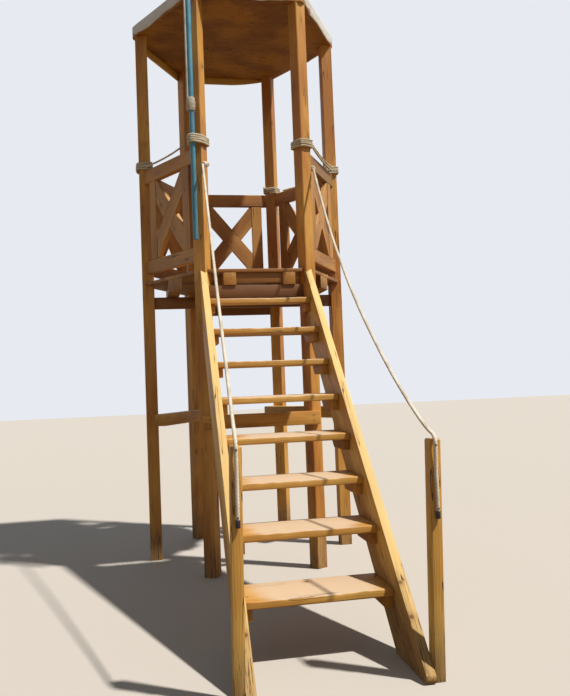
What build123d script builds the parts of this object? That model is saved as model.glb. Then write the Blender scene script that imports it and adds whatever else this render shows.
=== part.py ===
from build123d import *
import math
import os

# Lifeguard tower of sawn timber: six posts in a ring, a boarded deck two metres up, a steep open stair,
# cross-braced balustrades on five sides and a flat hexagonal roof under a stretched cover.
# Millimetres, +Z up. The stair runs down towards -Y, and the floor is Z = 0.
# Every piece is modelled about the middle of the post ring and moved to the part's origin at the end.

# Post ring
post_size = 90
post_circle = 750
post_height = 4080
post_arris = 4

# Deck
deck_height = 2130
deck_apothem = 690
deck_board_thickness = 25
deck_board_count = 10
deck_board_gap = 5
deck_notch_clearance = 2

# Timbers under the deck
joist_size = 90
left_joist_x = -190
right_joist_x = 235
outer_joist_x = 560
outer_joist_length = 1100
bearer_depth = 90
bearer_thickness = 45
nogging_depth = 75
nogging_thickness = 28
nogging_set_back = 15

# Girts at mid height
girt_top = 1110
front_girt_depth = 95
front_girt_thickness = 45
front_girt_length = 820
front_girt_let_in = 21
side_girt_size = 90
side_girt_length = 850
side_girt_let_in = 12

# Balustrades
rail_top = 3000
rail_depth = 105
rail_thickness = 45
rail_arris = 4
panel_width = 546
panel_thickness = 40
stile_width = 90
bottom_rail_depth = 100
bottom_rail_rise = 65
brace_width = 125
brace_thickness = 32
brace_angle = 50.3

# Stair
riser = 222.2
going = 218.2
top_nosing_y = -826.6
tread_count = 8
tread_depth = 300
top_tread_depth = 112
tread_thickness = 40
tread_arris = 4
tread_end_gap = 3
bottom_tread_drop = 40
stringer_thickness = 45
stringer_depth = 300
stringer_over_nosing = 75
stringer_top_y = -685
stringer_toe_round = 25
stair_left_x = -350
stair_right_x = 354
left_splay = 32
cleat_width = 40
cleat_depth = 60
cleat_set_back = 20
cleat_edge_margin = 8

# Newels
newel_width = 50
newel_depth = 68
newel_front_y = -2720
right_newel_height = 1050
left_newel_height = 1065
newel_arris = 5

# Roof
roof_sheet_thickness = 18
roof_sheet_gap = 1
roof_sheet_clearance = 0.8
roof_edge_thickness = 20
roof_edge_depth = 80
roof_corner_reach = 812
mitre_gap = 1
cover_thickness = 3
cover_clearance = 0.8
valance_depth = 80
valance_curve_start = 120
valance_curve_rise = 62

# Ropes
lashing_rope = 20
lashing_turns = 4
lashing_gap = 2
lashing_groove = 6
tie_height = 2860
span_rope = 18
span_line = 697
span_height = 3032
handrail_rope = 19

# Flag pole
pole_post = "b"
pole_diameter = 48
pole_circle = 842
pole_bottom = 2330
pole_top = 5150
pole_clearance = 0.3
pole_arris = 4
sleeve_diameter = 60
sleeve_bottom = 3230
sleeve_length = 100

# Lines that several pieces are set out from
cos_30 = math.cos(math.radians(30))
sin_30 = math.sin(math.radians(30))
post_names = "abcdef"
half_post = post_size / 2
ring_apothem = post_circle * cos_30
post_inner_line = ring_apothem - half_post * (cos_30 - sin_30)
post_outer_line = ring_apothem + half_post * (cos_30 + sin_30)
post_back_line = ring_apothem - half_post * (cos_30 + sin_30)
frame_line = post_inner_line + 1
joist_top = deck_height - deck_board_thickness
bearer_top = joist_top - joist_size
rail_underside = rail_top - rail_depth
bottom_rail_top = deck_height + bottom_rail_rise + bottom_rail_depth
lashing_bottom = rail_top + lashing_gap
slope = riser / going
stringer_drop = stringer_depth / math.cos(math.atan(slope))


def prism(corners, run):
    """A solid with flat ends: the outline through the corners, moved along the run."""
    outline = Face(Wire.make_polygon([Vector(*corner) for corner in corners], close=True))
    return extrude(outline, amount=Vector(*run).length, dir=run)


def block(x, y, z):
    """A box from its lowest and highest X, Y and Z."""
    corners = [(x[0], y[0], z[0]), (x[1], y[0], z[0]), (x[1], y[1], z[0]), (x[0], y[1], z[0])]
    return prism(corners, (0, 0, z[1] - z[0]))


def hexagon(apothem, bottom, top):
    """A hexagonal prism with its corners towards the posts."""
    outline = RegularPolygon(radius=apothem / cos_30, side_count=6)
    return Pos(0, 0, bottom) * extrude(outline, amount=top - bottom, dir=(0, 0, 1))


def post_angle(name):
    return 180 + 60 * post_names.index(name)


def on_side(side, shape):
    """Turns a piece made on the +Y side to the side between two posts, such as 'cd'."""
    return Rot(0, 0, post_angle(side[0]) + 30 - 90) * shape


def face_reach(distance):
    """Half the clear width between two posts, at a distance from the middle of the ring."""
    middle = post_circle * sin_30 - half_post / cos_30
    return middle + (distance - ring_apothem) * sin_30 / cos_30


def between_posts(inner, outer, bottom, top):
    """A timber on the +Y side, with its ends cut to the slanted faces of the two posts."""
    corners = [
        (-face_reach(inner), inner, bottom),
        (face_reach(inner), inner, bottom),
        (face_reach(outer), outer, bottom),
        (-face_reach(outer), outer, bottom),
    ]
    return prism(corners, (0, 0, top - bottom))


def long_edges(shape, direction):
    """The edges of a timber that run along its length."""
    return shape.edges().filter_by(direction)


def plain_post(name):
    post = Pos(post_circle, 0, 0) * block((-half_post, half_post), (-half_post, half_post), (0, post_height))
    post = chamfer(long_edges(post, Axis.Z), post_arris)
    return Rot(0, 0, post_angle(name)) * post


def post_hole(name):
    """The room that the deck boards leave round a post."""
    half = half_post + deck_notch_clearance
    hole = Pos(post_circle, 0, 0) * block((-half, half), (-half, half), (0, post_height))
    return Rot(0, 0, post_angle(name)) * hole


# Girts: a board let into the front corners of the two stair posts, and a square timber lapped over the
# inner corners of two posts on the right and on the left.
girt_back = post_outer_line - front_girt_let_in
front_girt = block(
    (-front_girt_length / 2, front_girt_length / 2),
    (-girt_back - front_girt_thickness, -girt_back),
    (girt_top - front_girt_depth, girt_top),
)
side_girt_outer = post_back_line + side_girt_let_in


def side_girt(side):
    girt = block(
        (-side_girt_length / 2, side_girt_length / 2),
        (side_girt_outer - side_girt_size, side_girt_outer),
        (girt_top - side_girt_size, girt_top),
    )
    return on_side(side, girt) - plain_post(side[0]) - plain_post(side[1])


def post(name):
    """A square post, with one face square to the ring's radius and a housing for the front girt."""
    return plain_post(name) - front_girt


# Bearers between the posts carry the joists, and the joists carry the deck boards.
def cross_bearer():
    reach = post_circle - half_post
    half = bearer_thickness / 2
    return block((-reach, reach), (-half, half), (bearer_top - bearer_depth, bearer_top))


def edge_bearer(side):
    bottom = bearer_top - bearer_depth
    return on_side(side, between_posts(frame_line, frame_line + bearer_thickness, bottom, bearer_top))


def middle_joist(x):
    half = joist_size / 2
    return block((x - half, x + half), (-deck_apothem, deck_apothem), (bearer_top, joist_top))


def outer_joist(x):
    """A short joist over the cross bearer, with its ends cut along the deck's edge."""
    half = joist_size / 2
    reach = outer_joist_length / 2
    joist = block((x - half, x + half), (-reach, reach), (bearer_top, joist_top))
    return joist & hexagon(deck_apothem, bearer_top, joist_top)


def nogging():
    """The board on edge between the two middle joists, just behind their front ends."""
    front = -deck_apothem + nogging_set_back
    ends = (left_joist_x + joist_size / 2, right_joist_x - joist_size / 2)
    return block(ends, (front, front + nogging_thickness), (joist_top - nogging_depth, joist_top))


def deck_boards():
    """Boards along X, trimmed to the hexagon and notched round the posts."""
    pitch = 2 * deck_apothem / deck_board_count
    boards = hexagon(deck_apothem, joist_top, deck_height)
    for name in post_names:
        boards -= post_hole(name)
    for index in range(1, deck_board_count):
        joint = -deck_apothem + index * pitch
        gap = (joint - deck_board_gap / 2, joint + deck_board_gap / 2)
        boards -= block((-post_circle, post_circle), gap, (bearer_top, rail_top))
    return boards


# Balustrades: a top rail from post to post over a framed panel with crossed boards.
def top_rail(side):
    rail = between_posts(frame_line, frame_line + rail_thickness, rail_underside, rail_top)
    return on_side(side, chamfer(long_edges(rail, Axis.X), rail_arris))


def upright_sheet(outline, inner, thickness):
    """Stands a flat outline, drawn with X along the side and Y up, on the +Y side."""
    face = Plane(origin=(0, inner, 0), x_dir=(1, 0, 0), z_dir=(0, -1, 0)) * outline
    return extrude(face, amount=thickness, dir=(0, 1, 0))


def lattice_panel(side):
    """Two stiles and a bottom rail round a pair of boards that are halved where they cross."""
    opening = panel_width - 2 * stile_width
    height = rail_underside - bottom_rail_top
    middle = (rail_underside + bottom_rail_top) / 2
    inner = frame_line + (rail_thickness - panel_thickness) / 2
    brace_length = 2 * height
    crossed = Rectangle(brace_length, brace_width, rotation=brace_angle)
    crossed += Rectangle(brace_length, brace_width, rotation=-brace_angle)
    crossed &= Rectangle(opening, height)
    brace_inner = inner + (panel_thickness - brace_thickness) / 2
    panel = upright_sheet(Pos(0, middle) * crossed, brace_inner, brace_thickness)
    for end in (-1, 1):
        centre = end * (panel_width - stile_width) / 2
        stile = (centre - stile_width / 2, centre + stile_width / 2)
        panel += block(stile, (inner, inner + panel_thickness), (bottom_rail_top, rail_underside))
    bottom = bottom_rail_top - bottom_rail_depth
    panel += between_posts(inner, inner + panel_thickness, bottom, bottom_rail_top)
    return on_side(side, panel)


# Stair. The strings are set out from the line through the nosings. Heights are for a place along Y.
def string_top(y):
    return deck_height - riser + stringer_over_nosing + slope * (y - top_nosing_y)


def string_bottom(y):
    return string_top(y) - stringer_drop


foot_front_y = stringer_top_y - string_top(stringer_top_y) / slope
foot_back_y = stringer_top_y - string_bottom(stringer_top_y) / slope
stair_run = stringer_top_y - foot_front_y


def right_of_stair(shape):
    """Places a piece made with X = 0 on the inner face of the right string."""
    return Pos(stair_right_x, 0, 0) * shape


def left_of_stair(shape):
    """Mirrors such a piece to the left string, which splays outwards towards its foot."""
    splay = math.degrees(math.atan(left_splay / stair_run))
    turned = Rot(0, 0, -splay) * Pos(0, -stringer_top_y, 0) * mirror(shape, about=Plane.YZ)
    return Pos(stair_left_x, stringer_top_y, 0) * turned


def stringer():
    """A plank on edge, plumb at the top, level at the foot, with its toe worn round."""
    corners = [
        (0, stringer_top_y, string_top(stringer_top_y)),
        (0, stringer_top_y, string_bottom(stringer_top_y)),
        (0, foot_back_y, 0),
        (0, foot_front_y, 0),
    ]
    plank = prism(corners, (stringer_thickness, 0, 0))
    toe = long_edges(plank, Axis.X).sort_by(Axis.Y)[0]
    return fillet(toe, stringer_toe_round)


def nosing_y(step):
    """The front edge of a tread, counted down from the deck."""
    return top_nosing_y - (step - 1) * going


def step_top(step):
    drop = bottom_tread_drop if step == tread_count else 0
    return deck_height - step * riser - drop


def step_depth(step):
    return top_tread_depth if step == 1 else tread_depth


def left_face_x(y):
    return stair_left_x - left_splay * (stringer_top_y - y) / stair_run


def tread(step):
    """A plank between the strings, on its two cleats."""
    front = nosing_y(step)
    back = front + step_depth(step)
    top = step_top(step)
    right = stair_right_x - tread_end_gap
    corners = [
        (left_face_x(front) + tread_end_gap, front, top - tread_thickness),
        (right, front, top - tread_thickness),
        (right, back, top - tread_thickness),
        (left_face_x(back) + tread_end_gap, back, top - tread_thickness),
    ]
    board = prism(corners, (0, 0, tread_thickness))
    return chamfer(long_edges(board, Axis.X), tread_arris)


def cleats():
    """Blocks on the inner face of a string, one under the end of each tread, sloped at the back."""
    blocks = []
    for step in range(1, tread_count + 1):
        front = nosing_y(step) + cleat_set_back
        top = step_top(step) - tread_thickness
        bottom = top - cleat_depth
        back_limit = nosing_y(step) + step_depth(step)
        top_back = min(back_limit, foot_back_y + top / slope - cleat_edge_margin)
        bottom_back = min(back_limit, foot_back_y + bottom / slope - cleat_edge_margin)
        corners = [(0, front, top), (0, top_back, top), (0, bottom_back, bottom), (0, front, bottom)]
        if top_back == bottom_back:
            corners = [(0, front, top), (0, back_limit, top), (0, back_limit, bottom), (0, front, bottom)]
        blocks.append(prism(corners, (-cleat_width, 0, 0)))
    return Compound(children=blocks)


def newel(height):
    """A short post on the outside of the string's foot, for the end of a handrail rope."""
    back = newel_front_y + newel_depth
    x = (stringer_thickness, stringer_thickness + newel_width)
    stump = block(x, (newel_front_y, back), (0, height))
    top_edges = stump.faces().sort_by(Axis.Z)[-1].edges()
    return chamfer(top_edges, newel_arris)


# Roof: a plywood hexagon in two halves on the posts, with boards on edge round it and a cover over them.
roof_sheet_bottom = post_height
roof_edge_inner = deck_apothem
roof_edge_outer = roof_edge_inner + roof_edge_thickness
roof_edge_top = roof_sheet_bottom + roof_edge_depth


def roof_sheet(front):
    top = roof_sheet_bottom + roof_sheet_thickness
    plate = hexagon(roof_edge_inner - roof_sheet_clearance, roof_sheet_bottom, top)
    half_gap = roof_sheet_gap / 2
    y = (-post_circle, -half_gap) if front else (half_gap, post_circle)
    return plate & block((-post_circle * 2, post_circle * 2), y, (0, roof_edge_top))


def roof_edge():
    """Six mitred boards on edge, with their sharp corners cut off."""
    inner_reach = roof_edge_inner * sin_30 / cos_30 - mitre_gap / 2
    outer_reach = roof_edge_outer * sin_30 / cos_30 - mitre_gap / 2
    corners = [
        (-inner_reach, roof_edge_inner, roof_sheet_bottom),
        (inner_reach, roof_edge_inner, roof_sheet_bottom),
        (outer_reach, roof_edge_outer, roof_sheet_bottom),
        (-outer_reach, roof_edge_outer, roof_sheet_bottom),
    ]
    board = prism(corners, (0, 0, roof_edge_depth))
    board &= Rot(0, 0, 30) * hexagon(roof_corner_reach, post_height / 2, 2 * post_height)
    return Compound(children=[(Rot(0, 0, 60 * turn) * board).solid() for turn in range(6)])


def cut_hexagon(apothem, reach, bottom, top):
    """A hexagonal prism with its corners cut off square at a distance from the middle."""
    return hexagon(apothem, bottom, top) & Rot(0, 0, 30) * hexagon(reach, bottom - 1, top + 1)


def roof_cover():
    """The cover's top and its skirt down to the plywood, as one cap."""
    room = cover_clearance
    skin = cover_clearance + cover_thickness
    bottom = roof_sheet_bottom
    outside = cut_hexagon(roof_edge_outer + skin, roof_corner_reach + skin, bottom, roof_edge_top + skin)
    inside = cut_hexagon(roof_edge_outer + room, roof_corner_reach + room, bottom - 1, roof_edge_top + room)
    return outside - inside


def valance(side, tapered):
    """A board between two posts, hung below the edge board. One is arched up towards its right end."""
    bottom = post_height - valance_depth
    board = between_posts(roof_edge_inner, roof_edge_outer, bottom, post_height)
    if tapered:
        end = face_reach(roof_edge_outer)
        width = end - valance_curve_start
        radius = (width**2 + valance_curve_rise**2) / (2 * valance_curve_rise)
        arch = Cylinder(radius, 4 * roof_edge_thickness, rotation=(90, 0, 0))
        board -= Pos(end, roof_edge_outer, bottom + valance_curve_rise - radius) * arch
    return on_side(side, board)


# Ropes. A turn is a ring of rope round a post or round a post and the pole, with its outer edges eased.
def rope_turn(core):
    around = offset(core, amount=lashing_rope, kind=Kind.ARC) - core
    ring = extrude(around, amount=lashing_rope, dir=(0, 0, 1))
    ends = ring.faces().sort_by(Axis.Z)
    eased = ends[-1].outer_wire().edges() + ends[0].outer_wire().edges()
    return chamfer(eased, lashing_groove)


def lashing(name):
    """Turns of rope stacked on the top rail's height. On one post the upper turns hold the pole too."""
    around_post = rope_turn(Rectangle(post_size, post_size))
    pole_hole = Pos(pole_circle - post_circle, 0) * Circle(pole_diameter / 2 + pole_clearance)
    around_both = rope_turn(make_hull((Rectangle(post_size, post_size) + pole_hole).edges()))
    stack = Part()
    for turn in range(lashing_turns):
        holds_pole = name == pole_post and turn >= lashing_turns / 2
        stack += Pos(0, 0, turn * lashing_rope) * (around_both if holds_pole else around_post)
    stack = Pos(post_circle, 0, lashing_bottom) * stack
    return Rot(0, 0, post_angle(name)) * stack


def rope_tie(name):
    """The single turn round a stair post that a handrail rope starts from."""
    turn = rope_turn(Rectangle(post_size, post_size))
    return Rot(0, 0, post_angle(name)) * Pos(post_circle, 0, tie_height - lashing_rope / 2) * turn


lashings = {name: lashing(name) for name in post_names}


def rope_span(side):
    """The rope pulled tight from one lashing to the next, outside the top rail."""
    reach = face_reach(span_line)
    rope = Cylinder(span_rope / 2, 2 * reach, rotation=(0, 90, 0))
    rope = on_side(side, Pos(0, span_line, span_height) * rope)
    rope = rope - lashings[side[0]] - lashings[side[1]]
    return rope.solids().sort_by(SortBy.VOLUME)[-1]


# The handrail ropes run from the tie, in a hanging curve, over the top of the newel and down its front.
right_rope_points = [
    (449, -669, 2860),
    (449, -800, 2672),
    (449, -960, 2457),
    (449, -1130, 2253),
    (449, -1310, 2066),
    (448, -1500, 1885),
    (448, -1700, 1711),
    (448, -1910, 1548),
    (447, -2130, 1390),
    (446, -2350, 1250),
    (445, -2540, 1143),
    (444, -2660, 1087),
    (443, -2740, 1067),
    (443, -2736, 985),
    (443, -2731, 895),
    (444, -2733, 805),
    (444, -2731, 705),
]
left_rope_points = [
    (-355, -724, 2860),
    (-363, -925, 2670),
    (-371, -1127, 2482),
    (-378, -1328, 2297),
    (-386, -1529, 2115),
    (-394, -1731, 1936),
    (-402, -1932, 1759),
    (-410, -2134, 1586),
    (-417, -2335, 1416),
    (-424, -2496, 1282),
    (-430, -2637, 1166),
    (-433, -2740, 1084),
    (-433, -2736, 1000),
    (-433, -2731, 915),
    (-434, -2733, 825),
    (-434, -2731, 730),
]
bend_share = 0.45


def bend_radii(points):
    """The largest radius that fits each corner: a share of the shorter run over the half turn's tangent."""
    radii = []
    for before, corner, after in zip(points, points[1:], points[2:]):
        run_in = Vector(*corner) - Vector(*before)
        run_out = Vector(*after) - Vector(*corner)
        half_turn = math.radians(run_in.get_angle(run_out)) / 2
        radii.append(bend_share * min(run_in.length, run_out.length) / math.tan(half_turn))
    return radii


def handrail(points, tie):
    """A tube of rope along straight runs and tangent arcs, cut to meet its tie."""
    radii = bend_radii(points)
    path = FilletPolyline(*points, radius=radii)
    start = Plane(origin=points[0], z_dir=Vector(*points[1]) - Vector(*points[0]))
    tube = sweep(start * Circle(handrail_rope / 2), path=path)
    print("handrail rope length", round(path.length), "smallest bend radius", round(min(radii)))
    print("volume over section times length", round(tube.volume / (path.length * math.pi * handrail_rope**2 / 4), 4))
    return tube - tie


# Flag pole: lashed to the outer face of a stair post, and passing just clear of the roof's corner.
def at_pole(shape):
    return Rot(0, 0, post_angle(pole_post)) * Pos(pole_circle, 0, 0) * shape


def flag_pole():
    pole = Pos(0, 0, (pole_bottom + pole_top) / 2) * Cylinder(pole_diameter / 2, pole_top - pole_bottom)
    return at_pole(chamfer(pole.edges().filter_by(GeomType.CIRCLE), pole_arris))


def pole_sleeve():
    middle = sleeve_bottom + sleeve_length / 2
    sleeve = Cylinder(sleeve_diameter / 2, sleeve_length)
    sleeve -= Cylinder(pole_diameter / 2 + pole_clearance, sleeve_length)
    return at_pole(Pos(0, 0, middle) * sleeve)


pieces = {}
for name in post_names:
    pieces["post_" + name] = post(name)

pieces["girt_front"] = front_girt
pieces["girt_right"] = side_girt("de")
pieces["girt_left"] = side_girt("fa")
pieces["bearer_front"] = edge_bearer("bc")
pieces["bearer_middle"] = cross_bearer()
pieces["bearer_back"] = edge_bearer("ef")
pieces["joist_left_outer"] = outer_joist(-outer_joist_x)
pieces["joist_left"] = middle_joist(left_joist_x)
pieces["joist_right"] = middle_joist(right_joist_x)
pieces["joist_right_outer"] = outer_joist(outer_joist_x)
pieces["nogging"] = nogging()
pieces["deck_boards"] = deck_boards()

for side in ("ab", "cd", "de", "ef", "fa"):
    pieces["top_rail_" + side] = top_rail(side)
    pieces["lattice_panel_" + side] = lattice_panel(side)

pieces["stringer_right"] = right_of_stair(stringer()) - plain_post("c")
pieces["stringer_left"] = left_of_stair(stringer()) - plain_post("b")
pieces["cleats_right"] = right_of_stair(cleats())
pieces["cleats_left"] = left_of_stair(cleats())
for step in range(1, tread_count + 1):
    pieces["tread_" + str(tread_count + 1 - step)] = tread(step)
pieces["newel_right"] = right_of_stair(newel(right_newel_height))
pieces["newel_left"] = left_of_stair(newel(left_newel_height))

pieces["roof_sheet_front"] = roof_sheet(True)
pieces["roof_sheet_back"] = roof_sheet(False)
pieces["roof_edge"] = roof_edge()
pieces["roof_cover"] = roof_cover()
pieces["valance_back"] = valance("ef", True)
pieces["valance_back_left"] = valance("fa", False)

pieces["rope_spans"] = Compound(children=[rope_span(side) for side in ("ab", "cd", "de", "fa")])
pieces["lashings"] = Compound(children=[turns.solid() for turns in lashings.values()])
right_tie = rope_tie("c")
left_tie = rope_tie("b")
pieces["rope_ties"] = Compound(children=[right_tie.solid(), left_tie.solid()])
pieces["flag_pole"] = flag_pole()
pieces["pole_sleeve"] = pole_sleeve()

# The part's origin is the middle of the footprint at floor level, which the ropes don't widen.
boxes = [piece.bounding_box() for piece in pieces.values()]
middle_x = (min(box.min.X for box in boxes) + max(box.max.X for box in boxes)) / 2
middle_y = (min(box.min.Y for box in boxes) + max(box.max.Y for box in boxes)) / 2
print("ring middle in the part's frame", round(-middle_x, 3), round(-middle_y, 3))

pieces["handrail_rope_right"] = handrail(right_rope_points, right_tie)
pieces["handrail_rope_left"] = handrail(left_rope_points, left_tie)

os.makedirs("parts", exist_ok=True)
for name, piece in pieces.items():
    export_step(Pos(-middle_x, -middle_y, 0) * piece, "parts/" + name + ".step")
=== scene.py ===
import bpy
import math
from mathutils import Euler, Matrix, Vector, noise


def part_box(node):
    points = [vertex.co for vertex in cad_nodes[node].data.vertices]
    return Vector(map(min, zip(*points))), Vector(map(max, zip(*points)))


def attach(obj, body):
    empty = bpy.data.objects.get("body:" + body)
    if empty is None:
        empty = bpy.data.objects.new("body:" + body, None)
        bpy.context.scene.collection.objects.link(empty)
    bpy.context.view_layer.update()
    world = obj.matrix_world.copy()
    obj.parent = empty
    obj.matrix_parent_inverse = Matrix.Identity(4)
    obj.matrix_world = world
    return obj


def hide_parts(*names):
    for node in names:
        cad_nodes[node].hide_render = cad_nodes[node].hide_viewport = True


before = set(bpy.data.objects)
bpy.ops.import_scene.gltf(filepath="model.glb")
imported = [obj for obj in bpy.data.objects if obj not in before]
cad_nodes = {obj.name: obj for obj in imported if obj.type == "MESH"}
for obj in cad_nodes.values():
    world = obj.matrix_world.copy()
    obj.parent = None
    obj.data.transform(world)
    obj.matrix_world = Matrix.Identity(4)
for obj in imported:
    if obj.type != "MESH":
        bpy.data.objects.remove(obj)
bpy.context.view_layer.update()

bpy.ops.object.select_all(action="DESELECT")

# The six posts are sawn pine, 90 mm square and in one length from the sand to the roof. Each stands with a
# face square to the ring's radius. They are stained golden brown, knotty, and weathered grey at the foot.
ring_middle = Vector((0, 1.004064, 0))
post_circle = 0.750
post_size = 0.090
post_names = "abcdef"
post_grey_below = 0.35
post_heart_out = 0.016
post_heart_aside = 0.011
post_knots_apart = 0.37
upright = -math.pi / 2


def post_bearing(letter):
    """The direction from the ring's middle to a post, in degrees."""
    return 180 + 60 * post_names.index(letter)


class Shade:
    """A number, colour or direction that a finish works out over a surface."""

    def __init__(self, finish, socket):
        self.finish = finish
        self.socket = socket

    def worked(self, operation, first, second=0.0):
        return self.finish.node("ShaderNodeMath", {"operation": operation}, {0: first, 1: second})

    def __add__(self, other):
        return self.worked("ADD", self, other)

    def __radd__(self, other):
        return self.worked("ADD", other, self)

    def __sub__(self, other):
        return self.worked("SUBTRACT", self, other)

    def __rsub__(self, other):
        return self.worked("SUBTRACT", other, self)

    def __mul__(self, other):
        return self.worked("MULTIPLY", self, other)

    def __rmul__(self, other):
        return self.worked("MULTIPLY", other, self)

    def __truediv__(self, other):
        return self.worked("DIVIDE", self, other)

    def __abs__(self):
        return self.worked("ABSOLUTE", self)

    def part(self):
        """What is left over above a whole number."""
        return self.worked("FRACT", self)

    def whole(self):
        return self.worked("FLOOR", self)


class Finish:
    """A material in the making, with the nodes that paint it. The surround is made in the same way."""

    def __init__(self, name, kind="materials"):
        self.block = getattr(bpy.data, kind).new(name)
        self.block.use_nodes = True
        self.nodes = self.block.node_tree.nodes
        self.links = self.block.node_tree.links
        self.shader = self.nodes.get("Principled BSDF")

    def feed(self, socket, value):
        if isinstance(value, Shade):
            self.links.new(value.socket, socket)
        else:
            socket.default_value = value

    def node(self, kind, settings=None, inputs=None, output=0):
        made = self.nodes.new(kind)
        for setting, value in (settings or {}).items():
            setattr(made, setting, value)
        for socket, value in (inputs or {}).items():
            self.feed(made.inputs[socket], value)
        return Shade(self, made.outputs[output])

    def place(self):
        return self.node("ShaderNodeTexCoord", output="Object")

    def turned(self, place, middle, turn):
        """Places measured from a middle, along a piece's own directions."""
        inputs = {"Vector": place, "Location": middle, "Rotation": turn}
        return self.node("ShaderNodeMapping", {"vector_type": "TEXTURE"}, inputs)

    def stretched(self, place, scale):
        return self.node("ShaderNodeVectorMath", {"operation": "MULTIPLY"}, {0: place, 1: scale})

    def size(self, place):
        return self.node("ShaderNodeVectorMath", {"operation": "LENGTH"}, {0: place}, "Value")

    def axis(self, place, name):
        return self.node("ShaderNodeSeparateXYZ", inputs={0: place}, output=name)

    def cloud(self, place, scale, detail=2.0, roughness=0.5):
        """Soft patches, so many to the metre along each direction."""
        patches = self.stretched(place, scale)
        inputs = {"Vector": patches, "Scale": 1.0, "Detail": detail, "Roughness": roughness}
        return self.node("ShaderNodeTexNoise", inputs=inputs)

    def ramp(self, value, low, high):
        """0 below low and 1 above high, or the other way round, with a smooth rise between."""
        inputs = {"Value": value, "From Min": min(low, high), "From Max": max(low, high)}
        if low > high:
            inputs.update({"To Min": 1.0, "To Max": 0.0})
        return self.node("ShaderNodeMapRange", {"interpolation_type": "SMOOTHSTEP"}, inputs)

    def mix(self, share, first, second):
        inputs = {0: share, 6: first, 7: second}
        return self.node("ShaderNodeMix", {"data_type": "RGBA"}, inputs, 2)

    def done(self, colour, roughness, height=None, depth=0.001):
        self.feed(self.shader.inputs["Base Color"], colour)
        self.feed(self.shader.inputs["Roughness"], roughness)
        if height is not None:
            inputs = {"Height": height, "Distance": depth, "Strength": 1.0}
            self.feed(self.shader.inputs["Normal"], self.node("ShaderNodeBump", inputs=inputs))
        return self.block


def paint(red, green, blue):
    """A colour as it is seen, from 0 to 255 each, as the shader takes it."""
    shares = [value / 255 for value in (red, green, blue)]
    linear = [value / 12.92 if value <= 0.04045 else ((value + 0.055) / 1.055) ** 2.4 for value in shares]
    return (*linear, 1.0)


post_golden = paint(226, 170, 82)
post_brown = paint(184, 118, 46)
golden = paint(228, 184, 92)
brown = paint(186, 132, 54)
dark_stain = paint(128, 84, 32)
knot_brown = paint(104, 58, 20)
weather_grey = paint(158, 130, 92)
crack_black = paint(40, 26, 14)
ring_width = 0.0055
ring_drift = 0.05
ring_bend = 0.016
knots_a_metre = 5.5
knot_rarity = 0.62
knot_centre = 0.03
knot_edge = 0.08
knot_swirl = 0.24
crack_middle = 0.004
crack_edge = 0.012
wear_and_light_fade = 0.06
grain_depth = 0.0012


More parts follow.
